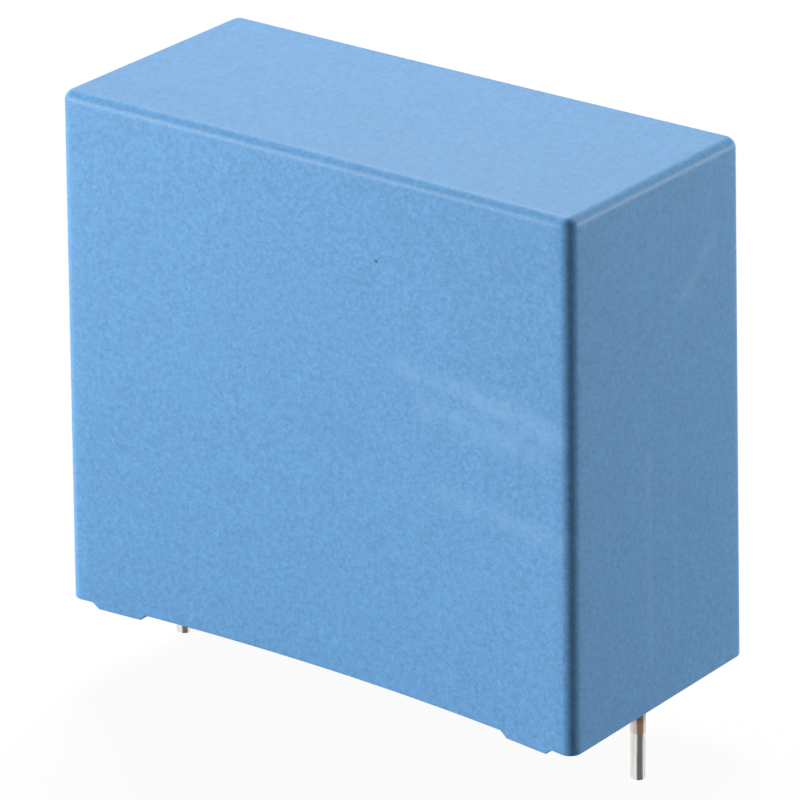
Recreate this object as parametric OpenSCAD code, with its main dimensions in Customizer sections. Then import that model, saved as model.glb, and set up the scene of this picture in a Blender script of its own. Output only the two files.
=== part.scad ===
// Box film capacitor, radial, two leads.
// Millimetres. The origin lies midway between the leads on the seating plane, under the
// feet. X runs from lead to lead, Z up from the board, and Y across the narrow case.

/* [Leads] */
// Distance between the centrelines of the two leads
lead_pitch = 37.5; // [22.5:0.5:52.5]
// Diameter of the lead wire
lead_diameter = 1; // [0.6:0.1:1.4]
// Length of lead below the seating plane
lead_below = 5.2; // [2:0.1:30]
// Length of lead welded to the sprayed end
weld_length = 13.5; // [4:0.5:20]
// Depth of the flat that the weld presses into the wire
weld_flat = 0.1; // [0.02:0.02:0.2]
// Bevel on the cut end of the wire
tip_bevel = 0.14; // [0.05:0.01:0.2]
// Resin left between a lead and the end wall
lead_cover = 0.2; // [0.1:0.05:3]

/* [Case] */
// Width of the case across its bottom rim, at the corners
case_width = 18.9; // [12:0.1:40]
// Height of the case from the seating plane to its flat top
case_height = 36; // [24:0.5:60]
// Thickness of the side walls
wall = 0.85; // [0.6:0.05:1.6]
// Thickness of the closed top
top_wall = 1; // [0.8:0.1:2]
// Draft of each side wall, in degrees
draft = 0.66; // [0.2:0.02:1]
// Radius of the four upright edges
edge_radius = 0.85; // [0.75:0.05:1.5]
// Radius round the closed top
top_radius = 0.7; // [0.3:0.05:0.7]
// Radius of the upright edges inside
inner_radius = 0.4; // [0.2:0.05:0.8]

/* [Drawn-in long walls] */
// How far the middle of a long wall is drawn in at the open rim
sink_rim = 1.15; // [0.1:0.05:1.3]
// How far the middle of a long wall is drawn in at the top
sink_top = 0.1; // [0:0.02:0.3]
// How the sink grows from the top to the rim, where 1 is a straight line
sink_growth = 1.3; // [1:0.1:2]

/* [Feet] */
// Height of the feet under the long walls
foot_height = 0.4; // [0.2:0.1:1]
// Length of a foot, half way up its sloped ends
foot_length = 3.75; // [1.5:0.25:6]
// Distance from the end of the case to a foot
foot_setback = 2.05; // [1.2:0.05:4]
// Width of the slope at each end of a foot
foot_slope = 0.5; // [0.1:0.05:0.8]

/* [Winding] */
// Resin between the winding and a long wall, where they come closest
side_cover = 0.53; // [0.3:0.01:2]
// Resin between the winding and the closed top
top_cover = 0.8; // [0.3:0.1:3]
// Resin under the winding
bottom_cover = 3.2; // [1.5:0.1:8]
// Thickness of the metal sprayed on each end
spray_thickness = 0.7; // [0.3:0.05:1.2]
// How far the resin lies inside the rim
resin_recess = 0.6; // [0.2:0.1:1.2]

/* [Hidden] */

$fn = 48;
case_blue = [0.36, 0.60, 0.81];
resin_grey = [0.30, 0.33, 0.36];
film_grey = [0.72, 0.73, 0.75];
spray_grey = [0.58, 0.58, 0.57];
tin_grey = [0.75, 0.75, 0.74];

// Levels, from the seating plane up.
rim_z = foot_height;
resin_z = rim_z + resin_recess;
winding_bottom = resin_z + bottom_cover;
ceiling_z = case_height - top_wall;
winding_top = ceiling_z - top_cover;
winding_height = winding_top - winding_bottom;
lead_top = winding_bottom + weld_length;

// Lengths along X. The end walls clear the tops of the leads by the cover of resin.
lead_x = lead_pitch / 2;
spray_face_x = lead_x - lead_diameter / 2 + weld_flat;
winding_length = 2 * (spray_face_x - spray_thickness);
lead_top_draft = (lead_top - rim_z) * tan(draft);
case_length = lead_pitch + lead_diameter + 2 * (lead_cover + wall + lead_top_draft);

// Widths along Y. The lowest level of the winding is where a long wall comes closest.
winding_thickness = 2 * (half_width(winding_bottom) - wall - sink(winding_bottom) - side_cover);

// Facets of the case: along a long wall, round an upright edge, up the walls, over the top.
wall_steps = 12;
edge_steps = 6;
rise_steps = 8;
round_steps = 5;

// Level of the rim by its distance from the middle: down at a foot, with sloped ends.
foot_outer = case_length / 2 - foot_setback;
foot_inner = foot_outer - foot_length;
rim_profile = [
    [foot_inner - foot_slope / 2, rim_z],
    [foot_inner + foot_slope / 2, 0],
    [foot_outer - foot_slope / 2, 0],
    [foot_outer + foot_slope / 2, rim_z]
];

// Half length and half width of the case at a level, at its corners.
function half_length(z) = case_length / 2 - (z - rim_z) * tan(draft);
function half_width(z) = case_width / 2 - (z - rim_z) * tan(draft);

// How far the middle of a long wall is drawn in at a level.
function sink(z) =
    let (share = max(0, min(1, (case_height - z) / (case_height - rim_z))))
    sink_top + (sink_rim - sink_top) * pow(share, sink_growth);

// Places along a long wall that get a point, from +X to -X: the bends of the feet and
// even steps between the feet.
function wall_places() =
    let (middle = rim_profile[0][0])
    concat(
        [for (i = [3 : -1 : 0]) rim_profile[i][0]],
        [for (i = [1 : wall_steps - 1]) middle * (1 - 2 * i / wall_steps)],
        [for (i = [0 : 3]) -rim_profile[i][0]]
    );

// A quarter circle of points round a centre at a level, from the angle `start`.
function edge_arc(centre, radius, start, z) =
    [for (i = [0 : edge_steps])
        let (a = start + 90 * i / edge_steps)
        [centre[0] + radius * cos(a), centre[1] + radius * sin(a), z]];

// Points of a drawn-in wall between its upright edges, where side is 1 or -1. At the rim
// they follow the feet.
function drawn_wall(z, inset, side, at_rim) =
    [for (place = wall_places())
        let (
            level = at_rim ? lookup(abs(place), rim_profile) : z,
            share = place / (half_length(level) - edge_radius),
            y = half_width(level) - inset - sink(level) * (1 - pow(share, 2))
        )
        [side * place, side * y, level]];

// Ring of points round the case at a level, moved in by `inset`.
function ring(z, inset, radius, at_rim = false) =
    let (
        x = half_length(z) - inset - radius,
        y = half_width(z) - inset - radius
    )
    concat(
        edge_arc([x, y], radius, 0, z),
        drawn_wall(z, inset, 1, at_rim),
        edge_arc([-x, y], radius, 90, z),
        edge_arc([-x, -y], radius, 180, z),
        drawn_wall(z, inset, -1, at_rim),
        edge_arc([x, -y], radius, 270, z)
    );

// Rings over the outside of the case, from its rim to its flat top.
function outer_rings() =
    let (
        shoulder = case_height - top_radius,
        walls = [for (i = [1 : rise_steps]) rim_z + (shoulder - rim_z) * i / rise_steps],
        turns = [for (i = [1 : round_steps]) 90 * i / round_steps]
    )
    concat(
        [ring(rim_z, 0, edge_radius, true)],
        [for (z = walls) ring(z, 0, edge_radius)],
        [for (a = turns)
            let (inset = top_radius * (1 - cos(a)))
            ring(shoulder + top_radius * sin(a), inset, edge_radius - inset)]
    );

// Rings up the inside of the case, from the face of the resin to the ceiling.
function inner_rings() =
    [for (i = [0 : rise_steps])
        ring(resin_z + (ceiling_z - resin_z) * i / rise_steps, wall, inner_radius)];

function reversed(list) = [for (i = [len(list) - 1 : -1 : 0]) list[i]];

// A closed solid through rings with equally many points, capped flat at its first ring and
// its last. The rings start downwards with `down`, and upwards without it.
module loft(rings, down = false) {
    count = len(rings[0]);
    last = len(rings) - 1;
    sides = [
        for (k = [0 : last - 1])
            for (i = [0 : count - 1])
                let (
                    here = k * count + i,
                    next = k * count + (i + 1) % count
                )
                each [[here, here + count, next], [next, here + count, next + count]]
    ];
    first_cap = [for (i = [0 : count - 1]) i];
    last_cap = [for (i = [count - 1 : -1 : 0]) last * count + i];
    faces = concat([first_cap], sides, [last_cap]);
    polyhedron([for (r = rings) each r], down ? [for (f = faces) reversed(f)] : faces);
}

// The moulded cup, open at the bottom, with a foot near each end of both long walls. Its
// skin runs from the top down the outside, under the rim and up the inside.
module case() {
    color(case_blue)
        loft(concat(
            reversed(outer_rings()),
            [ring(rim_z, wall, inner_radius, true)],
            inner_rings()
        ), down = true);
}

// The roll of film, pressed flat: a slab with two round edges, wound about X.
module winding_form(length) {
    radius = winding_thickness / 2;
    middle = (winding_top + winding_bottom) / 2;
    straight = winding_height - winding_thickness;
    for (side = [-1, 1])
        translate([-length / 2, 0, middle + side * straight / 2])
            rotate([0, 90, 0])
                cylinder(r = radius, h = length);
    translate([0, 0, middle])
        cube([length, winding_thickness, straight], center = true);
}

module film_winding() {
    color(film_grey) winding_form(winding_length);
}

// Sprayed metal on one end of the winding, where side is -1 or 1.
module end_spray(side) {
    color(spray_grey)
        intersection() {
            winding_form(2 * spray_face_x);
            translate([side * (winding_length / 2 + spray_thickness / 2), 0, case_height / 2])
                cube([spray_thickness, case_width, case_height], center = true);
        }
}

// One tinned wire, where side is -1 or 1, with a bevelled free end. It runs straight on
// into the case, and lies flat against the sprayed end where it is welded.
module lead(side) {
    radius = lead_diameter / 2;
    weld_middle = winding_bottom + weld_length / 2;
    color(tin_grey)
        translate([side * lead_x, 0, 0])
            difference() {
                union() {
                    translate([0, 0, tip_bevel - lead_below])
                        cylinder(r = radius, h = lead_top + lead_below - tip_bevel);
                    translate([0, 0, -lead_below])
                        cylinder(r1 = radius - tip_bevel, r2 = radius, h = tip_bevel);
                }
                translate([-side * (lead_diameter - weld_flat), 0, weld_middle + weld_flat])
                    cube([lead_diameter, 2 * lead_diameter, weld_length + 2 * weld_flat],
                        center = true);
            }
}

// The resin that fills the case round the winding and holds the leads.
module potting_resin() {
    color(resin_grey)
        difference() {
            loft(inner_rings());
            winding_form(2 * spray_face_x);
            lead(-1);
            lead(1);
        }
}

case();
potting_resin();
film_winding();
end_spray(-1);  // end_spray_left
end_spray(1);  // end_spray_right
lead(-1);  // lead_left
lead(1);  // lead_right
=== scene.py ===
"""Looks of a box film capacitor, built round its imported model.

A drafted plastic cup with drawn-in long walls stands on four low feet. Cast resin fills it
and holds a flattened film winding, whose sprayed ends each carry a welded lead. Lengths are
metres in the frame of the model: X from lead to lead, Y across the case and Z up.
"""
import logging
import math
from dataclasses import dataclass
from enum import Enum
from functools import lru_cache
from typing import Any, Callable, Mapping, Sequence, Union

import bmesh
import bpy
from mathutils import Matrix, Vector, noise


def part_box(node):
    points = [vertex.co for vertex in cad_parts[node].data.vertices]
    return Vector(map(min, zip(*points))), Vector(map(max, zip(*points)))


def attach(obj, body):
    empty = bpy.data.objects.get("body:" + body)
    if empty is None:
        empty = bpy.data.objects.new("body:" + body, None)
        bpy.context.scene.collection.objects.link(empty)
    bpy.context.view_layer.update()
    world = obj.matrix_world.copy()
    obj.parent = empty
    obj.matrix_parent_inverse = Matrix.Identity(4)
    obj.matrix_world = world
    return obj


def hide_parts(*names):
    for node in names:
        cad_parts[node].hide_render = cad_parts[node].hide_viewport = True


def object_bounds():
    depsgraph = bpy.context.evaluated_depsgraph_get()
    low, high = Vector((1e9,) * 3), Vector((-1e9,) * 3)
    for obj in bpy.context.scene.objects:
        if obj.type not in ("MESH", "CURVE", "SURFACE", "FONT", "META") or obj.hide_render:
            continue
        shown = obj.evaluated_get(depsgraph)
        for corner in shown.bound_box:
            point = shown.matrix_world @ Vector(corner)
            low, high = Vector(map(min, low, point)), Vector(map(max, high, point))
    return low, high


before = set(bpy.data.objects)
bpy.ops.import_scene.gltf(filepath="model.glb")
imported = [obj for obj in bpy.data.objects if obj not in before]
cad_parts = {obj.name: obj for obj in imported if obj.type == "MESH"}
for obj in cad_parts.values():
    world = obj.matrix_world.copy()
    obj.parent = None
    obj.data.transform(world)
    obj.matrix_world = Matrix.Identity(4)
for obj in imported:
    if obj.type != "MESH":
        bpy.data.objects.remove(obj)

MM = 0.001
BODY = "root"
CAD_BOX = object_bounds()
log = logging.getLogger("box_film_capacitor")

Colour = tuple[float, float, float]
Point = tuple[float, float, float]


class Side(Enum):
    """The two ends of the capacitor, by the sign of X."""

    LEFT = -1
    RIGHT = 1

    @property
    def label(self) -> str:
        """The word that piece names end in."""
        return self.name.lower()


@lru_cache(maxsize=None)
def solid_box(node: str) -> tuple[Sequence[float], Sequence[float]]:
    """The lowest and the highest corner of a solid of the model."""
    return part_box(node)


# ---------------------------------------------------------------- node arithmetic


class Wire:
    """An output socket of a node that takes part in plain arithmetic."""

    def __init__(self, bench: "Bench", socket: bpy.types.NodeSocket) -> None:
        """Keep the socket and the bench that its node stands on."""
        self.bench = bench
        self.socket = socket

    def __add__(self, other: "Feed") -> "Wire":
        """Sum with a value."""
        return self.bench.math("ADD", self, other)

    def __sub__(self, other: "Feed") -> "Wire":
        """Difference, less a value."""
        return self.bench.math("SUBTRACT", self, other)

    def __rsub__(self, other: "Feed") -> "Wire":
        """Difference, taken from a value."""
        return self.bench.math("SUBTRACT", other, self)

    def __mul__(self, other: "Feed") -> "Wire":
        """Product with a value."""
        return self.bench.math("MULTIPLY", self, other)

    def __truediv__(self, other: "Feed") -> "Wire":
        """Quotient by a value."""
        return self.bench.math("DIVIDE", self, other)

    def __rtruediv__(self, other: "Feed") -> "Wire":
        """Quotient of a value by this one."""
        return self.bench.math("DIVIDE", other, self)

    def __gt__(self, other: "Feed") -> "Wire":
        """1 where this is greater, and 0 elsewhere."""
        return self.bench.math("GREATER_THAN", self, other)

    def __lt__(self, other: "Feed") -> "Wire":
        """1 where this is less, and 0 elsewhere."""
        return self.bench.math("LESS_THAN", self, other)

    __radd__ = __add__
    __rmul__ = __mul__

    def at_least(self, other: "Feed") -> "Wire":
        """The greater of the two."""
        return self.bench.math("MAXIMUM", self, other)

    def at_most(self, other: "Feed") -> "Wire":
        """The lesser of the two."""
        return self.bench.math("MINIMUM", self, other)

    def ramp(self, low: "Feed", high: "Feed", start: "Feed" = 0.0, end: "Feed" = 1.0) -> "Wire":
        """Turn smoothly from one value to another as this goes from low to high.

        Args:
            low: Value of this wire where the result is `start`.
            high: Value of this wire where the result is `end`.
            start: Result at and before `low`.
            end: Result at and after `high`.

        Returns:
            The wire that carries the result.
        """
        settings = {"interpolation_type": "SMOOTHSTEP"}
        feeds = {0: self, 1: low, 2: high, 3: start, 4: end}
        return self.bench.add("ShaderNodeMapRange", settings, feeds)


Feed = Union[Wire, float, int, bool, Sequence[float], bpy.types.Material]


class Bench:
    """A node tree that nodes are added to and joined on."""

    def __init__(self, tree: bpy.types.NodeTree) -> None:
        """Keep the tree."""
        self.tree = tree

    def add(
        self,
        kind: str,
        settings: Mapping[str, Any] | None = None,
        feeds: Mapping[int | str, Feed] | None = None,
        output: int | str = 0,
    ) -> Wire:
        """Add any node, set it up and feed its sockets.

        Args:
            kind: The node's type.
            settings: Its properties, set first, because some of them change its sockets.
            feeds: A wire or a constant for each socket, by place or by name.
            output: Which output to return, by place or by name.

        Returns:
            The wire at that output.
        """
        node = self.tree.nodes.new(kind)
        for name, value in (settings or {}).items():
            setattr(node, name, value)
        for key, feed in (feeds or {}).items():
            socket = node.inputs[key]
            if isinstance(feed, Wire):
                self.tree.links.new(feed.socket, socket)
            elif socket.type == "RGBA":
                socket.default_value = (*feed, 1.0)
            else:
                socket.default_value = feed
        return Wire(self, node.outputs[output]) if len(node.outputs) else Wire(self, None)

    def math(self, operation: str, *feeds: Feed) -> Wire:
        """Add a Math node that works on one, two or three values."""
        return self.add("ShaderNodeMath", {"operation": operation}, dict(enumerate(feeds)))

    def vector(self, operation: str, *feeds: Feed) -> Wire:
        """Add a Vector Math node that gives a vector."""
        return self.add("ShaderNodeVectorMath", {"operation": operation}, dict(enumerate(feeds)))

    def combine(self, x: Feed, y: Feed, z: Feed) -> Wire:
        """Join three values to a vector."""
        return self.add("ShaderNodeCombineXYZ", feeds={0: x, 1: y, 2: z})

    def split(self, vector: Wire) -> tuple[Wire, Wire, Wire]:
        """Take a vector apart into its three values."""
        first = self.add("ShaderNodeSeparateXYZ", feeds={0: vector})
        outputs = first.socket.node.outputs
        return Wire(self, outputs[0]), Wire(self, outputs[1]), Wire(self, outputs[2])

    def noise(self, place: Wire, scale: float, detail: float = 2.0, rough: float = 0.5) -> Wire:
        """Add soft noise between 0 and 1, with about `scale` lumps to a unit of length."""
        feeds = {"Vector": place, "Scale": scale, "Detail": detail, "Roughness": rough}
        return self.add("ShaderNodeTexNoise", feeds=feeds)

    def blend(self, factor: Feed, first: Feed, second: Feed) -> Wire:
        """Mix two colours, from `first` at 0 to `second` at 1."""
        settings = {"data_type": "RGBA", "clamp_factor": True}
        return self.add("ShaderNodeMix", settings, {0: factor, 6: first, 7: second}, output=2)


# ---------------------------------------------------------------- finishes


@dataclass(frozen=True)
class Skin:
    """What a finish gives its shader at each place."""

    colour: Wire
    roughness: Wire
    height: Wire
    depth: float


@dataclass(frozen=True)
class Finish:
    """A finish of one material slot. Its patterns are sized in millimetres."""

    slot: str
    metallic: float
    specular: float

    def skin(self, bench: Bench, place: Wire) -> Skin:
        """Make the patterns of the finish.

        Args:
            bench: The bench of the material's tree.
            place: The place on the piece, in millimetres.

        Returns:
            The colour, roughness and relief at that place.
        """
        raise NotImplementedError

    def build(self) -> bpy.types.Material:
        """Make the material.

        Returns:
            A material with one shader, fed by the patterns of `skin`.
        """
        material = bpy.data.materials.new(self.slot)
        material.use_nodes = True
        material.node_tree.nodes.clear()
        bench = Bench(material.node_tree)
        spot = bench.add("ShaderNodeTexCoord", output="Object")
        place = bench.add("ShaderNodeVectorMath", {"operation": "SCALE"}, {0: spot, "Scale": 1 / MM})
        skin = self.skin(bench, place)
        relief = {"Height": skin.height, "Distance": skin.depth, "Strength": 1.0}
        feeds = {
            "Base Color": skin.colour,
            "Roughness": skin.roughness,
            "Metallic": self.metallic,
            "Specular IOR Level": self.specular,
            "Normal": bench.add("ShaderNodeBump", feeds=relief),
        }
        shader = bench.add("ShaderNodeBsdfPrincipled", feeds=feeds)
        bench.add("ShaderNodeOutputMaterial", feeds={"Surface": shader})
        return material


@dataclass(frozen=True)
class Rub:
    """A rubbed streak between two places on a wall, in millimetres along it and up."""

    start: tuple[float, float]
    end: tuple[float, float]
    width: float
    strength: float

    def mask(self, bench: Bench, along: Wire, up: Wire) -> Wire:
        """Strength of the streak at a place, fading out to its width.

        Args:
            bench: The bench of the material's tree.
            along: Place along the wall.
            up: Height on the wall.

        Returns:
            A wire from 0, outside the streak, to its strength, on its middle line.
        """
        run = (self.end[0] - self.start[0], self.end[1] - self.start[1])
        from_start = (along - self.start[0], up - self.start[1])
        share = (from_start[0] * run[0] + from_start[1] * run[1]) / (run[0] ** 2 + run[1] ** 2)
        share = share.at_least(0.0).at_most(1.0)
        off = (from_start[0] - share * run[0], from_start[1] - share * run[1])
        distance = bench.math("SQRT", off[0] * off[0] + off[1] * off[1])
        return distance.ramp(self.width, 0.0, 0.0, self.strength)


@dataclass(frozen=True)
class GrainedPlastic(Finish):
    """Light blue moulded plastic with a fine spark-eroded grain and a few rubs."""

    base: Colour = (0.120, 0.322, 0.602)
    pale: Colour = (0.230, 0.440, 0.720)
    speck_colour: Colour = (0.030, 0.060, 0.100)
    rough: float = 0.50
    grain_contrast: float = 0.58
    cloud_contrast: float = 0.10
    front_rubs: tuple[Rub, ...] = (
        Rub((7.1, 23.3), (12.5, 22.9), 1.10, 0.55),
        Rub((12.5, 22.9), (19.0, 21.6), 1.50, 0.62),
        Rub((9.0, 21.0), (17.8, 20.2), 1.90, 0.34),
        Rub((10.0, 15.6), (19.4, 14.6), 1.30, 0.36),
    )
    end_rubs: tuple[Rub, ...] = (
        Rub((3.0, 27.4), (5.8, 30.2), 1.10, 0.40),
        Rub((-1.2, 18.0), (-1.0, 4.0), 0.55, 0.22),
        Rub((1.6, 19.0), (1.8, 5.0), 0.50, 0.18),
    )
    speck: tuple[float, float] = (5.2, 30.0)
    speck_radius: float = 0.19

    def skin(self, bench: Bench, place: Wire) -> Skin:
        """Grain, soft clouds, rubs on the front and on the right end, and one dark speck."""
        x, y, z = bench.split(place)
        grain = bench.noise(place, 2.6, detail=3.0, rough=0.62)
        fine = bench.noise(place, 7.0, detail=2.0, rough=0.6)
        cloud = bench.noise(place, 0.28, detail=3.0, rough=0.55)
        tone = (grain - 0.5) * self.grain_contrast + (fine - 0.5) * self.grain_contrast
        tone = tone + (cloud - 0.5) * self.cloud_contrast + 0.5
        dark = tuple(0.5 * part for part in self.base)
        light = tuple(1.5 * part for part in self.base)
        colour = bench.blend(tone, dark, light)
        patch = bench.noise(place, 1.1, detail=4.0, rough=0.7).ramp(0.34, 0.64, 0.2, 1.0)
        rubbed = self._worn(bench, x, z, self.front_rubs) * (y < -5.0)
        rubbed = rubbed + self._worn(bench, y, z, self.end_rubs) * (x > 19.0)
        colour = bench.blend(rubbed * patch, colour, self.pale)
        point = bench.combine(self.speck[0], 0.0, self.speck[1])
        flat = bench.combine(x, 0.0, z)
        gap = bench.add(
            "ShaderNodeVectorMath", {"operation": "DISTANCE"}, {0: flat, 1: point}, output="Value"
        )
        speck = gap.ramp(self.speck_radius, 0.3 * self.speck_radius) * (y < -5.0)
        colour = bench.blend(speck * 0.8, colour, self.speck_colour)
        roughness = (grain - 0.5) * 0.16 + self.rough - rubbed * patch * 0.12
        return Skin(colour, roughness, grain * 0.65 + fine * 0.35, 0.024 * MM)

    @staticmethod
    def _worn(bench: Bench, along: Wire, up: Wire, rubs: Sequence[Rub]) -> Wire:
        """Join the masks of several rubs on one wall."""
        worn = rubs[0].mask(bench, along, up)
        for rub in rubs[1:]:
            worn = worn.at_least(rub.mask(bench, along, up))
        return worn


@dataclass(frozen=True)
class CastResin(Finish):
    """Dark blue-grey cast resin, with soft clouds and a few closed bubbles."""

    base: Colour = (0.060, 0.085, 0.125)
    clouded: Colour = (0.095, 0.125, 0.170)
    rough: float = 0.30

    def skin(self, bench: Bench, place: Wire) -> Skin:
        """Clouds of filler, a slightly uneven gloss and small bubbles under the skin."""
        cloud = bench.noise(place, 0.55, detail=4.0, rough=0.6)
        ripple = bench.noise(place, 1.6, detail=2.0)
        cell = bench.add("ShaderNodeTexVoronoi", feeds={"Vector": place, "Scale": 0.8})
        bubble = cell.ramp(0.16, 0.08)
        colour = bench.blend(cloud.ramp(0.35, 0.7), self.base, self.clouded)
        roughness = (cloud - 0.5) * 0.3 + self.rough
        return Skin(colour, roughness, ripple * 0.5 + bubble * 0.5, 0.05 * MM)


@dataclass(frozen=True)
class WoundFilm(Finish):
    """Metallised film, wound round X and pressed flat, seen through its clear outer turns."""

    base: Colour = (0.60, 0.61, 0.63)
    shaded: Colour = (0.44, 0.45, 0.48)
    rough: float = 0.26

    def skin(self, bench: Bench, place: Wire) -> Skin:
        """Fine turn lines along the width and soft pressed waves."""
        stretched = bench.vector("MULTIPLY", place, (3.5, 0.25, 0.25))
        lines = bench.noise(stretched, 1.0, detail=3.0)
        wave = bench.noise(place, 0.35, detail=2.0)
        colour = bench.blend(lines * 0.6 + wave * 0.4, self.shaded, self.base)
        roughness = (wave - 0.5) * 0.2 + self.rough
        return Skin(colour, roughness, lines * 0.4 + wave * 0.6, 0.03 * MM)


@dataclass(frozen=True)
class SprayedMetal(Finish):
    """Zinc sprayed on as droplets: rough, porous and grey."""

    base: Colour = (0.47, 0.47, 0.46)
    painted_pore_shade: Colour = (0.20, 0.20, 0.20)
    rough: float = 0.62

    def skin(self, bench: Bench, place: Wire) -> Skin:
        """Lumps of frozen droplets, with painted shade in the low pores between them."""
        lump = bench.noise(place, 4.5, detail=4.0, rough=0.7)
        # Painted shade: darker colour where the relief is low, in the pores between the lumps
        colour = bench.blend(lump.ramp(0.32, 0.55), self.painted_pore_shade, self.base)
        roughness = (lump - 0.5) * -0.4 + self.rough
        return Skin(colour, roughness, lump, 0.09 * MM)


@dataclass(frozen=True)
class TinnedWire(Finish):
    """Bright tinned copper wire with a brown band near the case, a painted shadow of the case over its
    top end and a painted dark reflection down one side.
    """

    base: Colour = (0.88, 0.87, 0.85)
    drawn: Colour = (0.60, 0.59, 0.57)
    # Painted dark reflection: near-black colour laid down one side of the wire
    dark_reflection: Colour = (0.105, 0.105, 0.090)
    # Brown colour of the band on the wire below the case
    brown_band: Colour = (0.230, 0.125, 0.075)
    # Painted shadow of the case on the wire near the rim
    case_shadow: Colour = (0.100, 0.085, 0.070)
    brown_band_end: float = -1.9
    case_shadow_end: float = -1.1
    # Bearing round the wire where the painted dark reflection runs
    dark_reflection_bearing: float = math.radians(-40.0)
    rough: float = 0.24

    def skin(self, bench: Bench, place: Wire) -> Skin:
        """Drawing marks, a painted dark reflection down one side, the brown band with its crisp end, and
        a painted shadow of the case above it.
        """
        x, y, z = bench.split(place)
        axis = (solid_box("lead_right")[0][0] + solid_box("lead_right")[1][0]) / (2 * MM)
        across = x - bench.math("SIGN", x) * axis
        stretched = bench.vector("MULTIPLY", place, (9.0, 9.0, 0.35))
        marks = bench.noise(stretched, 1.0, detail=3.0, rough=0.6)
        blotch = bench.noise(place, 2.2, detail=3.0)
        # Painted dark reflection down one side of the wire, placed by bearing round its axis
        facing = (across * math.cos(self.dark_reflection_bearing) + y * math.sin(self.dark_reflection_bearing)) * 2.0
        dark_reflection_share = (facing + (marks - 0.5) * 0.10).ramp(0.86, 0.97)
        colour = bench.blend(marks.ramp(0.35, 0.65) * 0.8, self.base, self.drawn)
        colour = bench.blend(dark_reflection_share * 0.95, colour, self.dark_reflection)
        # Brown band above a crisp, slightly wavy line, stronger on the side of the painted dark
        # reflection
        edge = z + (blotch - 0.5) * 0.16
        brown_banded = edge.ramp(self.brown_band_end - 0.05, self.brown_band_end + 0.05)
        colour = bench.blend(brown_banded * (dark_reflection_share * 0.55 + 0.35), colour, self.brown_band)
        # Painted shadow of the case, from just above the brown band over the top end of the wire,
        # stronger on the side of the painted dark reflection
        case_shadowed = edge.ramp(self.case_shadow_end - 0.25, self.case_shadow_end + 0.25)
        colour = bench.blend(case_shadowed * (dark_reflection_share * 0.5 + 0.4), colour, self.case_shadow)
        roughness = (marks - 0.5) * 0.2 + brown_banded * 0.14 + self.rough
        return Skin(colour, roughness, marks, 0.006 * MM)


# ---------------------------------------------------------------- pieces


def settle(piece: bpy.types.Object, slot: str, *nodes: str) -> None:
    """Put a finished piece into the model.

    Args:
        piece: The piece, with its place in its mesh.
        slot: The material slot that it takes its finish from; not used.
        nodes: The solids of the model that it stands for.
    """
    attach(piece, BODY)
    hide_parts(*nodes)
    log.info("%s: %d faces, for %s", piece.name, len(piece.data.polygons), ", ".join(nodes))


def smooth_shade(mesh: bpy.types.Mesh, degrees: float) -> None:
    """Shade a mesh smooth, apart from edges that turn by more than an angle."""
    mesh.shade_smooth()
    mesh.set_sharp_from_angle(angle=math.radians(degrees))


def make_piece(name: str, mesh: bpy.types.Mesh, material: bpy.types.Material) -> bpy.types.Object:
    """Make an object at the origin from a mesh with one material.

    Args:
        name: Name of the piece.
        mesh: Its mesh, in the frame of the model.
        material: Its finish.

    Returns:
        The object, linked to the scene.
    """
    mesh.name = name
    mesh.materials.clear()
    mesh.materials.append(material)
    piece = bpy.data.objects.new(name, mesh)
    bpy.context.scene.collection.objects.link(piece)
    return piece


class ShapeTree(Bench):
    """A Geometry Nodes tree with named sizes that ends in one material."""

    def __init__(self, name: str) -> None:
        """Start a tree with nothing but its way in and its way out."""
        super().__init__(bpy.data.node_groups.new(name, "GeometryNodeTree"))
        self._identifiers: dict[str, str] = {}
        self.tree.interface.new_socket("Geometry", in_out="INPUT", socket_type="NodeSocketGeometry")
        self.tree.interface.new_socket("Geometry", in_out="OUTPUT", socket_type="NodeSocketGeometry")
        self._way_in = self.tree.nodes.new("NodeGroupInput")

    @property
    def solid(self) -> Wire:
        """The geometry that the tree is given."""
        return Wire(self, self._way_in.outputs["Geometry"])

    def size(self, name: str) -> Wire:
        """Add a named size to the tree and return its wire."""
        item = self.tree.interface.new_socket(name, in_out="INPUT", socket_type="NodeSocketFloat")
        self._identifiers[name] = item.identifier
        return Wire(self, self._way_in.outputs[name])

    def end(self, geometry: Wire, material: bpy.types.Material) -> None:
        """Realize the instances, set the material and lead the result out."""
        real = self.add("GeometryNodeRealizeInstances", feeds={"Geometry": geometry})
        done = self.add("GeometryNodeSetMaterial", feeds={"Geometry": real, "Material": material})
        self.add("NodeGroupOutput", feeds={"Geometry": done})

    def grow(
        self, name: str, sizes: Mapping[str, float], start: bpy.types.Mesh | None = None
    ) -> bpy.types.Mesh:
        """Run the tree and keep what it makes as a plain mesh.

        Args:
            name: Name of the mesh.
            sizes: A value for each named size.
            start: The geometry that the tree is given, if it uses any.

        Returns:
            The mesh, free of modifiers.
        """
        seed = bpy.data.objects.new(name, start or bpy.data.meshes.new(name))
        bpy.context.scene.collection.objects.link(seed)
        modifier = seed.modifiers.new("shape", "NODES")
        modifier.node_group = self.tree
        for label, value in sizes.items():
            modifier[self._identifiers[label]] = value
        graph = bpy.context.evaluated_depsgraph_get()
        graph.update()
        mesh = bpy.data.meshes.new_from_object(seed.evaluated_get(graph))
        seed.modifiers.remove(modifier)
        bpy.data.objects.remove(seed)
        return mesh


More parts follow.
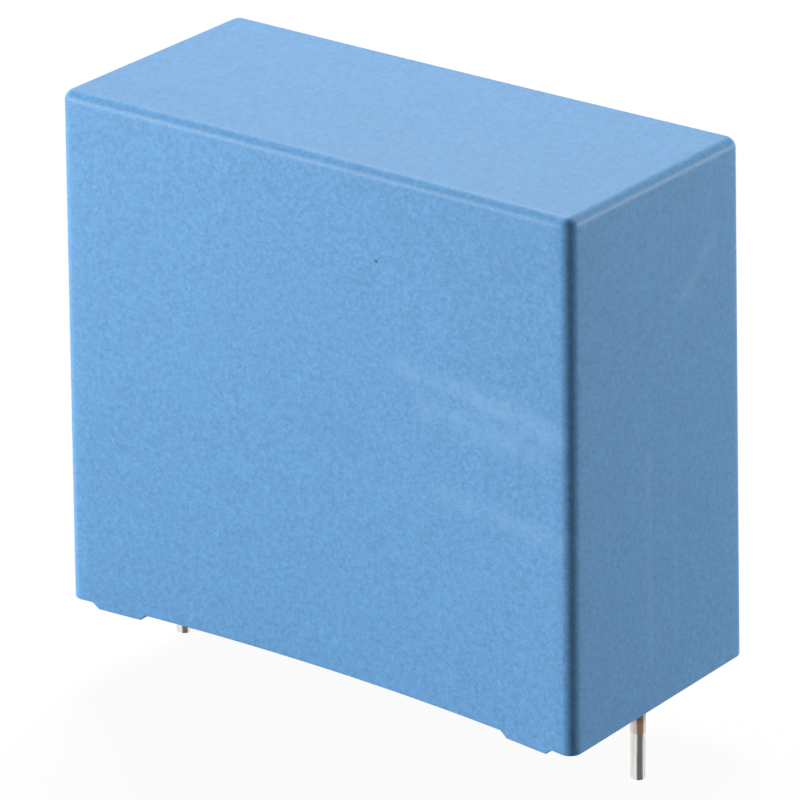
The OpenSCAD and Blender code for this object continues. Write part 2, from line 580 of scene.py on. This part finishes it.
def loft(
    rings: Sequence[Sequence[Point]], closed_end: bool = True
) -> tuple[list[Point], list[Sequence[int]]]:
    """Skin rings with equally many points.

    Args:
        rings: The rings, anticlockwise as seen from the side of the first one.
        closed_end: Whether the last ring gets a cap, as the first one does.

    Returns:
        The points and the faces, which point outwards.
    """
    count = len(rings[0])
    faces: list[Sequence[int]] = [tuple(range(count))]
    for upper in range(len(rings) - 1):
        for here in range(count):
            beside = (here + 1) % count
            a, b = upper * count, (upper + 1) * count
            faces.append((a + here, b + here, b + beside, a + beside))
    if closed_end:
        last = (len(rings) - 1) * count
        faces.append(tuple(range(last + count - 1, last - 1, -1)))
    return [point for ring in rings for point in ring], faces


def turned(
    skin: tuple[list[Point], list[Sequence[int]]]
) -> tuple[list[Point], list[Sequence[int]]]:
    """The same skin with its faces pointing the other way."""
    return skin[0], [tuple(reversed(face)) for face in skin[1]]


def merged_copy(node: str) -> bmesh.types.BMesh:
    """A copy of a solid of the model with its loose triangles joined."""
    work = bmesh.new()
    work.from_mesh(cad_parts[node].data)
    bmesh.ops.remove_doubles(work, verts=work.verts, dist=0.0005 * MM)
    return work


@dataclass(frozen=True)
class MouldedCase:
    """The moulded cup: drafted, drawn in along its long walls, rounded, and on four feet."""

    material: bpy.types.Material
    wall: float = 0.85 * MM
    top_wall: float = 1.0 * MM
    draft: float = math.radians(0.66)
    edge_radius: float = 0.85 * MM
    top_radius: float = 0.7 * MM
    inner_radius: float = 0.4 * MM
    rim_radius: float = 0.12 * MM
    sink_rim: float = 1.15 * MM
    sink_top: float = 0.1 * MM
    sink_growth: float = 1.3
    foot_height: float = 0.4 * MM
    foot_length: float = 3.75 * MM
    foot_setback: float = 2.05 * MM
    foot_slope: float = 0.5 * MM
    along_steps: int = 72
    slope_steps: int = 6
    edge_steps: int = 12
    rise_steps: int = 22
    round_steps: int = 10
    rim_steps: int = 4
    support: float = 0.08 * MM

    @property
    def top(self) -> float:
        """Level of the flat top."""
        return solid_box("case")[1][2]

    @property
    def foot_outer(self) -> float:
        """Distance from the middle to the outer end of a foot."""
        return solid_box("case")[1][0] - self.foot_setback

    def half_length(self, level: float) -> float:
        """Half of the case's length at a level."""
        return solid_box("case")[1][0] - (level - self.foot_height) * math.tan(self.draft)

    def half_width(self, level: float) -> float:
        """Half of the case's width at a level, at its corners."""
        return solid_box("case")[1][1] - (level - self.foot_height) * math.tan(self.draft)

    def sink(self, level: float) -> float:
        """How far the middle of a long wall is drawn in at a level."""
        share = (self.top - level) / (self.top - self.foot_height)
        share = min(max(share, 0.0), 1.0)
        return self.sink_top + (self.sink_rim - self.sink_top) * share**self.sink_growth

    def wall_y(self, place: float, level: float, inset: float) -> float:
        """Distance from the middle plane to a long wall.

        Args:
            place: Place along the wall.
            level: Height on the wall.
            inset: How far the face lies inside the outer one.

        Returns:
            The distance along Y.
        """
        share = place / (self.half_length(level) - self.edge_radius)
        return self.half_width(level) - inset - self.sink(level) * (1 - share**2)

    def rim_level(self, place: float) -> float:
        """Level of the rim at a place along a long wall, which is 0 under a foot."""
        inner = self.foot_outer - self.foot_length
        off = max(inner - abs(place), abs(place) - self.foot_outer)
        share = min(max(off / self.foot_slope + 0.5, 0.0), 1.0)
        return self.foot_height * share

    def wall_places(self) -> list[float]:
        """Places along a long wall that get a point, from +X to -X."""
        slope = [
            centre + self.foot_slope * (step / self.slope_steps - 0.5)
            for centre in (self.foot_outer, self.foot_outer - self.foot_length)
            for step in range(self.slope_steps, -1, -1)
        ]
        reach = slope[-1]
        between = [reach * (1 - 2 * step / self.along_steps) for step in range(1, self.along_steps)]
        return slope + between + [-place for place in reversed(slope)]

    def ring(
        self, inset: float, radius: float, level: Callable[[float], float]
    ) -> list[Point]:
        """Points round the case, from +X over +Y.

        Args:
            inset: How far the ring lies inside the outer face.
            radius: Radius of its four corners.
            level: Gives the level at a place along a long wall.

        Returns:
            The points, the same number for each ring.
        """
        plain = level(self.half_length(0.0))
        centre = (self.half_length(plain) - inset - radius, self.half_width(plain) - inset - radius)
        points: list[Point] = []
        for quarter, (side_x, side_y) in enumerate(((1, 1), (-1, 1), (-1, -1), (1, -1))):
            for step in range(self.edge_steps + 1):
                angle = math.pi / 2 * (quarter + step / self.edge_steps)
                x = side_x * centre[0] + radius * math.cos(angle)
                y = side_y * centre[1] + radius * math.sin(angle)
                points.append((x, y, plain))
            if quarter % 2 == 0:
                for place in self.wall_places():
                    height = level(place)
                    points.append(
                        (side_y * place, side_y * self.wall_y(place, height, inset), height)
                    )
            else:
                for share in (0.94, 0.5, 0.0, -0.5, -0.94):
                    x = side_x * (centre[0] + radius)
                    points.append((x, side_y * centre[1] * share, plain))
        return points

    def rings(self) -> list[list[Point]]:
        """Rings from the flat top down the outside, round the rim and up to the ceiling."""
        shoulder = self.top - self.top_radius
        quarter = math.pi / 2
        rings = []
        crest = self.top_radius + self.support
        rings.append(self.ring(crest, self.edge_radius - crest, lambda _: self.top))
        for step in range(self.round_steps, -1, -1):
            angle = quarter * step / self.round_steps
            inset = self.top_radius * (1 - math.cos(angle))
            height = shoulder + self.top_radius * math.sin(angle)
            rings.append(self.ring(inset, self.edge_radius - inset, lambda _, z=height: z))
        shares = [1 - self.support / shoulder]
        shares += [1 - step / self.rise_steps for step in range(1, self.rise_steps)]
        shares += [0.02, 0.008]
        for share in shares:
            rings.append(self.ring(0.0, self.edge_radius, self._risen(share, shoulder)))
        for step in range(self.rim_steps + 1):
            angle = quarter * step / self.rim_steps
            inset = self.rim_radius * (1 - math.cos(angle))
            lift = self.rim_radius * (1 - math.sin(angle))
            rings.append(self.ring(inset, self.edge_radius - inset, self._lifted(lift)))
        for step in range(self.rim_steps, -1, -1):
            angle = quarter * step / self.rim_steps
            back = self.rim_radius * (1 - math.cos(angle))
            lift = self.rim_radius * (1 - math.sin(angle))
            rings.append(self.ring(self.wall - back, self.inner_radius + back, self._lifted(lift)))
        ceiling = self.top - self.top_wall
        for step in range(self.rise_steps + 1):
            share = 0.02 + 0.98 * step / self.rise_steps
            rings.append(self.ring(self.wall, self.inner_radius, self._risen(share, ceiling)))
        return rings

    def _risen(self, share: float, upper: float) -> Callable[[float], float]:
        """Level at a share of the way from the rim to an upper level."""
        return lambda place: self.rim_level(place) * (1 - share) + upper * share

    def _lifted(self, lift: float) -> Callable[[float], float]:
        """Level at a fixed height over the rim."""
        return lambda place: self.rim_level(place) + lift

    def build(self) -> bpy.types.Object:
        """Skin the rings and put the shell into the model.

        Returns:
            The case as one closed shell.
        """
        points, faces = loft(self.rings())
        mesh = bpy.data.meshes.new("case_shell")
        mesh.from_pydata(points, [], faces)
        smooth_shade(mesh, 35)
        piece = make_piece("case_shell", mesh, self.material)
        settle(piece, "case_plastic", "case")
        return piece


@dataclass(frozen=True)
class ResinFill:
    """The cast resin. Its open face creeps up the walls and round the leads."""

    material: bpy.types.Material
    case: MouldedCase
    creep: float = 0.26 * MM
    creep_reach: float = 0.45 * MM
    unevenness: float = 0.05 * MM
    spine: float = 12.0 * MM
    wall_rings: int = 12
    face_rings: int = 34
    crowding: float = 1.9
    hollow_steps: int = 24
    collar: tuple[tuple[float, float], ...] = (
        (0.86, 0.10), (0.86, 0.00), (0.72, -0.04), (0.61, -0.11), (0.54, -0.20), (0.505, -0.30)
    )
    collar_sides: int = 48

    def build(self) -> bpy.types.Object:
        """Skin the block, its hollow and the collars, and put the resin into the model.

        Returns:
            The resin as one closed solid with its hollow for the winding.
        """
        block = loft(self._block(), closed_end=False)
        parts = [block, turned(loft(self._hollow()))]
        parts += [loft(self._collar(side)) for side in Side]
        points: list[Point] = []
        faces: list[Sequence[int]] = []
        for part_points, part_faces in parts:
            faces += [tuple(len(points) + index for index in face) for face in part_faces]
            points += part_points
        mesh = bpy.data.meshes.new("resin_fill")
        mesh.from_pydata(points, [], faces)
        work = bmesh.new()
        work.from_mesh(mesh)
        bmesh.ops.remove_doubles(work, verts=work.verts, dist=0.0005 * MM)
        work.to_mesh(mesh)
        work.free()
        smooth_shade(mesh, 40)
        piece = make_piece("resin_fill", mesh, self.material)
        settle(piece, "resin", "potting_resin")
        return piece

    def _block(self) -> list[list[Point]]:
        """Rings down the walls, and then over the open face to its middle line."""
        low, high = solid_box("potting_resin")[0][2], solid_box("potting_resin")[1][2]
        inset, radius = self.case.wall, self.case.inner_radius
        rings = []
        for step in range(self.wall_rings):
            height = high + (low + self.creep - high) * step / (self.wall_rings - 1)
            rings.append(self.case.ring(inset, radius, lambda _, z=height: z))
        outline = self.case.ring(inset, radius, lambda _: low)
        for step in range(self.face_rings + 1):
            share = (step / self.face_rings) ** self.crowding
            ring = []
            for x, y, _ in outline:
                inner = max(min(x, self.spine), -self.spine)
                place = (x + (inner - x) * share, y * (1 - share))
                ring.append((*place, low + self._relief(*place, low)))
            rings.append(ring)
        return rings

    def _relief(self, x: float, y: float, level: float) -> float:
        """How far the open face lies off its level at a place, where down is outwards."""
        to_end = self.case.half_length(level) - self.case.wall - abs(x)
        to_side = self.case.wall_y(x, level, self.case.wall) - abs(y)
        to_wall = max(min(to_end, to_side), 0.0)
        rise = self.creep * math.exp(-to_wall / self.creep_reach)
        wave = noise.noise(Vector((x, y, 0.0)) / (3.2 * MM))
        return self.unevenness * wave * (1 - math.exp(-to_wall / self.creep_reach)) - rise

    def _hollow(self) -> list[list[Point]]:
        """Rings round the winding and its sprayed ends: a slab with two round edges."""
        reach = solid_box("end_spray_right")[1][0]
        low, high = solid_box("film_winding")
        radius = (high[1] - low[1]) / 2
        outline = []
        for step in range(2 * self.hollow_steps + 2):
            upper = step <= self.hollow_steps
            turn = step if upper else step - 1
            centre = high[2] - radius if upper else low[2] + radius
            angle = math.pi * turn / self.hollow_steps
            outline.append((radius * math.cos(angle), centre + radius * math.sin(angle)))
        return [[(x, y, z) for y, z in outline] for x in (reach, -reach)]

    def _collar(self, side: Side) -> list[list[Point]]:
        """Rings of the collar where the resin creeps down a lead."""
        lead = solid_box(f"lead_{side.label}")
        middle, level = (lead[0][0] + lead[1][0]) / 2, solid_box("potting_resin")[0][2]
        rings = []
        for radius, lift in self.collar:
            ring = []
            for step in range(self.collar_sides):
                angle = 2 * math.pi * step / self.collar_sides
                x, y = radius * MM * math.cos(angle), radius * MM * math.sin(angle)
                ring.append((middle + x, y, level + lift * MM))
            rings.append(ring)
        return rings


@dataclass(frozen=True)
class Lead:
    """A tinned wire with a cropped free end, pressed flat where it is welded."""

    material: bpy.types.Material
    radius: float = 0.5 * MM
    bevel: float = 0.08 * MM
    slant: float = 0.20 * MM
    slant_bearing: float = math.radians(-35.0)
    weld_length: float = 13.5 * MM
    weld_flat: float = 0.1 * MM
    sides: int = 48
    step: float = 0.14 * MM
    weld_join: float = 0.003 * MM

    def tree(self) -> ShapeTree:
        """Build the tree that sweeps the wire along its line.

        Returns:
            The tree, with the sizes of one lead as its inputs.
        """
        shape = ShapeTree("wire")
        radius, bottom, top = shape.size("Radius"), shape.size("Bottom"), shape.size("Top")
        bevel, slant, side = shape.size("Bevel"), shape.size("Slant"), shape.size("Side")
        place, weld, flat = shape.size("Place"), shape.size("Weld Length"), shape.size("Weld Flat")
        line = shape.add(
            "GeometryNodeCurvePrimitiveLine",
            feeds={"Start": shape.combine(0, 0, bottom), "End": shape.combine(0, 0, top)},
        )
        path = shape.add(
            "GeometryNodeResampleCurve", {"mode": "LENGTH"}, {"Curve": line, "Length": self.step}
        )
        _, _, height = shape.split(shape.add("GeometryNodeInputPosition"))
        worn = ((height - bottom) / bevel).at_most(1.0)
        girth = 1 - (1 - worn) * (1 - worn) * (bevel / radius)
        path = shape.add("GeometryNodeSetCurveRadius", feeds={"Curve": path, "Radius": girth})
        outline = shape.add(
            "GeometryNodeCurvePrimitiveCircle", feeds={"Resolution": self.sides, "Radius": radius}
        )
        wire = shape.add(
            "GeometryNodeCurveToMesh",
            feeds={"Curve": path, "Profile Curve": outline, "Fill Caps": True},
        )
        x, y, z = shape.split(shape.add("GeometryNodeInputPosition"))
        across = x * math.cos(self.slant_bearing) + y * math.sin(self.slant_bearing)
        cut = bottom + slant * (0.5 - across / radius * 0.5)
        welded = (z > top - weld) * (side * x < flat - radius)
        pressed = side * (flat - radius)
        moved = shape.combine(place + x + (pressed - x) * welded, y, z.at_least(cut))
        wire = shape.add("GeometryNodeSetPosition", feeds={"Geometry": wire, "Position": moved})
        wire = shape.add(
            "GeometryNodeMergeByDistance", feeds={"Geometry": wire, "Distance": self.weld_join}
        )
        shape.end(wire, self.material)
        return shape

    def build(self) -> list[bpy.types.Object]:
        """Sweep both leads and put them into the model.

        Returns:
            The two leads.
        """
        shape = self.tree()
        pieces = []
        for side in Side:
            node = f"lead_{side.label}"
            low, high = solid_box(node)
            sizes = {
                "Radius": self.radius,
                "Bottom": low[2],
                "Top": high[2],
                "Bevel": self.bevel,
                "Slant": self.slant,
                "Side": side.value,
                "Place": (low[0] + high[0]) / 2,
                "Weld Length": self.weld_length,
                "Weld Flat": self.weld_flat,
            }
            mesh = shape.grow(f"{node}_wire", sizes)
            smooth_shade(mesh, 40)
            piece = make_piece(f"{node}_wire", mesh, self.material)
            settle(piece, "tinned_wire", node)
            pieces.append(piece)
        return pieces


@dataclass(frozen=True)
class FilmWinding:
    """The roll of metallised film, pressed flat, with its turns showing at both ends."""

    material: bpy.types.Material
    turns: int = 16
    turn_pitch: float = 0.36 * MM
    turn_relief: float = 0.05 * MM

    def tree(self) -> ShapeTree:
        """Build the tree that stacks the turns on the ends of the roll.

        Returns:
            The tree, with the sizes of the roll as its inputs.
        """
        shape = ShapeTree("winding")
        length, height = shape.size("Length"), shape.size("Height")
        thickness, level = shape.size("Thickness"), shape.size("Level")
        face = length * 0.5 - self.turn_relief
        feeds = {"Start": shape.combine(face * -1, 0, 0), "End": shape.combine(face, 0, 0)}
        line = shape.add("GeometryNodeCurvePrimitiveLine", feeds=feeds)
        slab = shape.add(
            "GeometryNodeCurveToMesh",
            feeds={
                "Curve": line, "Profile Curve": self._outline(shape, height, thickness),
                "Fill Caps": True,
            },
        )
        wire = shape.add(
            "GeometryNodeCurvePrimitiveCircle", feeds={"Resolution": 8, "Radius": self.turn_relief}
        )
        whole = shape.add("GeometryNodeJoinGeometry")
        parts = [slab]
        for turn in range(self.turns):
            drop = self.turn_relief * 2 + turn * self.turn_pitch * 2
            path = self._outline(shape, height - drop, thickness - drop)
            ridge = shape.add(
                "GeometryNodeCurveToMesh", feeds={"Curve": path, "Profile Curve": wire}
            )
            for end in (face * -1, face):
                feeds = {
                    "Geometry": ridge,
                    "Translation": shape.combine(end, 0, 0),
                    "Rotation": (math.pi / 2, 0.0, math.pi / 2),
                }
                parts.append(shape.add("GeometryNodeTransform", feeds=feeds))
        for part in parts:
            shape.tree.links.new(part.socket, whole.socket.node.inputs[0])
        moved = shape.add(
            "GeometryNodeTransform", feeds={"Geometry": whole, "Translation": shape.combine(0, 0, level)}
        )
        shape.end(moved, self.material)
        return shape

    @staticmethod
    def _outline(shape: ShapeTree, height: Wire, thickness: Wire) -> Wire:
        """The outline of one turn: a slab with two round edges."""
        outline = shape.add(
            "GeometryNodeCurvePrimitiveQuadrilateral", feeds={"Width": thickness, "Height": height}
        )
        feeds = {"Curve": outline, "Count": 12, "Radius": thickness * 0.4999, "Limit Radius": True}
        return shape.add("GeometryNodeFilletCurve", {"mode": "POLY"}, feeds)


@dataclass(frozen=True)
class SprayedEnds:
    """The metal sprayed on the ends of the winding, with droplets frozen on its face."""

    material: bpy.types.Material
    droplet: float = 0.10 * MM
    density: float = 5.0 / MM**2
    seed: int = 7

    def tree(self) -> ShapeTree:
        """Build the tree that scatters droplets over a sprayed layer.

        Returns:
            The tree, with the size and the spacing of the droplets as its inputs.
        """
        shape = ShapeTree("spray")
        droplet, density = shape.size("Droplet"), shape.size("Density")
        points = shape.add(
            "GeometryNodeDistributePointsOnFaces",
            feeds={"Mesh": shape.solid, "Density": density, "Seed": self.seed},
        )
        ball = shape.add("GeometryNodeMeshIcoSphere", feeds={"Radius": droplet, "Subdivisions": 1})
        spread = shape.add(
            "FunctionNodeRandomValue", {"data_type": "FLOAT"}, {2: 0.4, 3: 1.0, "Seed": self.seed},
            output=1,
        )
        drops = shape.add(
            "GeometryNodeInstanceOnPoints",
            feeds={"Points": points, "Instance": ball, "Scale": shape.combine(spread, spread, spread)},
        )
        whole = shape.add("GeometryNodeJoinGeometry")
        shape.tree.links.new(shape.solid.socket, whole.socket.node.inputs[0])
        shape.tree.links.new(drops.socket, whole.socket.node.inputs[0])
        shape.end(whole, self.material)
        return shape

    def build(self) -> list[bpy.types.Object]:
        """Scatter the droplets on both ends and put them into the model.

        Returns:
            The two sprayed ends.
        """
        shape = self.tree()
        pieces = []
        for side in Side:
            node = f"end_spray_{side.label}"
            work = merged_copy(node)
            start = bpy.data.meshes.new(node)
            work.to_mesh(start)
            work.free()
            sizes = {"Droplet": self.droplet, "Density": self.density}
            mesh = shape.grow(f"sprayed_end_{side.label}", sizes, start)
            smooth_shade(mesh, 50)
            piece = make_piece(f"sprayed_end_{side.label}", mesh, self.material)
            settle(piece, "end_metal", node)
            pieces.append(piece)
        return pieces


# ---------------------------------------------------------------- studio


@dataclass(frozen=True)
class Softbox:
    """A soft square lamp that faces the case. Its bearing runs from -Y towards +X."""

    name: str
    bearing: float
    rise: float
    distance: float
    width: float
    power: float

    def place(self, target: Vector) -> None:
        """Hang the lamp and turn it to its target."""
        bearing, rise = math.radians(self.bearing), math.radians(self.rise)
        direction = Vector((
            math.sin(bearing) * math.cos(rise), -math.cos(bearing) * math.cos(rise), math.sin(rise)
        ))
        lamp = bpy.data.lights.new(self.name, "AREA")
        lamp.shape = "SQUARE"
        lamp.size = self.width
        lamp.energy = self.power
        holder = bpy.data.objects.new(self.name, lamp)
        holder.location = target + direction * self.distance
        holder.rotation_euler = direction.to_track_quat("Z", "Y").to_euler()
        bpy.context.scene.collection.objects.link(holder)


@dataclass(frozen=True)
class Studio:
    """The white sweep, the soft lamps and the camera."""

    lamps: tuple[Softbox, ...] = (
        Softbox("left_softbox", -45.0, 8.0, 0.38, 0.12, 1.82),
        Softbox("right_softbox", 138.0, 8.0, 0.38, 0.12, 0.96),
        Softbox("back_softbox", 217.7, 57.0, 0.38, 0.16, 1.38),
    )
    dim: float = 0.04
    floor_half: float = 1.5
    floor_albedo: float = 0.38
    floor_white: float = 0.95
    floor_glow: float = 0.93
    camera_yaw: float = math.radians(37.702)
    camera_pitch: float = math.radians(23.039)
    camera_roll: float = math.radians(-0.869)
    camera_lens: float = 257.05
    camera_distance: float = 366.36 * MM
    camera_slide: tuple[float, float] = (-0.029 * MM, 1.701 * MM)

    def build(self) -> None:
        """Set up the world, the floor, the lamps and the camera."""
        scene = bpy.context.scene
        scene.view_settings.view_transform = "Standard"
        self._world(scene)
        self._floor()
        low, high = solid_box("case")
        middle = (Vector(low) + Vector(high)) / 2
        for lamp in self.lamps:
            lamp.place(middle)
        self._camera(scene, middle)

    @staticmethod
    def _seen(bench: Bench) -> Wire:
        """1 for the rays that see the backdrop straight, mirrored or through glass."""
        rays = bench.add("ShaderNodeLightPath", output="Is Camera Ray").socket.node.outputs
        mirrored = Wire(bench, rays["Is Glossy Ray"])
        return Wire(bench, rays["Is Camera Ray"]).at_least(mirrored).at_least(
            Wire(bench, rays["Is Transmission Ray"])
        )

    def _world(self, scene: bpy.types.Scene) -> None:
        """White where it is seen, and dim where it lights the part."""
        world = bpy.data.worlds.new("studio")
        world.use_nodes = True
        world.node_tree.nodes.clear()
        bench = Bench(world.node_tree)
        colour = bench.blend(self._seen(bench), (self.dim,) * 3, (1.0, 1.0, 1.0))
        sky = bench.add("ShaderNodeBackground", feeds={"Color": colour})
        bench.add("ShaderNodeOutputWorld", feeds={"Surface": sky})
        scene.world = world

    def _floor(self) -> None:
        """A plain pale floor under the leads that keeps a faint shadow."""
        material = bpy.data.materials.new("floor")
        material.use_nodes = True
        material.node_tree.nodes.clear()
        bench = Bench(material.node_tree)
        shade, white = (self.floor_albedo,) * 3, (self.floor_white,) * 3
        colour = bench.blend(self._seen(bench), shade, white)
        paint = bench.add("ShaderNodeBsdfDiffuse", feeds={"Color": colour})
        glow = bench.add("ShaderNodeEmission", feeds={"Color": (1.0, 1.0, 1.0)})
        feeds = {0: self._seen(bench) * self.floor_glow, 1: paint, 2: glow}
        mixed = bench.add("ShaderNodeMixShader", feeds=feeds)
        below = bench.add("ShaderNodeNewGeometry", output="Backfacing")
        clear = bench.add("ShaderNodeBsdfTransparent")
        mixed = bench.add("ShaderNodeMixShader", feeds={0: below, 1: mixed, 2: clear})
        bench.add("ShaderNodeOutputMaterial", feeds={"Surface": mixed})
        half, level = self.floor_half, CAD_BOX[0][2]
        corners = [(x, y, level) for x, y in ((-half, -half), (half, -half), (half, half), (-half, half))]
        mesh = bpy.data.meshes.new("floor")
        mesh.from_pydata(corners, [], [(0, 1, 2, 3)])
        make_piece("floor", mesh, material)

    def _camera(self, scene: bpy.types.Scene, middle: Vector) -> None:
        """A long lens that looks down on the front and the right end of the case."""
        flat = math.cos(self.camera_pitch)
        back = Vector((
            math.sin(self.camera_yaw) * flat, -math.cos(self.camera_yaw) * flat,
            math.sin(self.camera_pitch),
        ))
        level_right = (-back).cross(Vector((0, 0, 1))).normalized()
        level_up = level_right.cross(-back)
        cosine, sine = math.cos(self.camera_roll), math.sin(self.camera_roll)
        right = level_right * cosine + level_up * sine
        up = level_up * cosine - level_right * sine
        data = bpy.data.cameras.new("camera")
        data.sensor_width = 36.0
        data.lens = self.camera_lens
        data.clip_start = 0.01
        data.clip_end = 10.0
        camera = bpy.data.objects.new("camera", data)
        slide = right * self.camera_slide[0] + up * self.camera_slide[1]
        target = Vector((0.0, 0.0, middle.z + 0.18 * MM))
        turn = Matrix((right, up, back)).transposed().to_4x4()
        camera.matrix_world = Matrix.Translation(target + back * self.camera_distance - slide) @ turn
        scene.collection.objects.link(camera)
        scene.camera = camera


def dress_winding(material: bpy.types.Material) -> bpy.types.Object:
    """Grow the winding to the size of its solid and put it into the model."""
    low, high = solid_box("film_winding")
    winding = FilmWinding(material)
    sizes = {
        "Length": high[0] - low[0],
        "Height": high[2] - low[2],
        "Thickness": high[1] - low[1],
        "Level": (high[2] + low[2]) / 2,
    }
    mesh = winding.tree().grow("wound_film", sizes)
    smooth_shade(mesh, 40)
    piece = make_piece("wound_film", mesh, material)
    settle(piece, "metallised_film", "film_winding")
    return piece


def main() -> None:
    """Build the studio and dress each piece, from the case inwards."""
    logging.basicConfig(level=logging.INFO, format="%(name)s: %(message)s", force=True)
    Studio().build()
    case = MouldedCase(GrainedPlastic("case_plastic", 0.0, 0.30).build())
    case.build()
    ResinFill(CastResin("resin", 0.0, 0.5).build(), case).build()
    Lead(TinnedWire("tinned_wire", 1.0, 0.5).build()).build()
    dress_winding(WoundFilm("metallised_film", 0.6, 0.5).build())
    SprayedEnds(SprayedMetal("end_metal", 0.8, 0.5).build()).build()


if __name__ == "__main__":
    main()
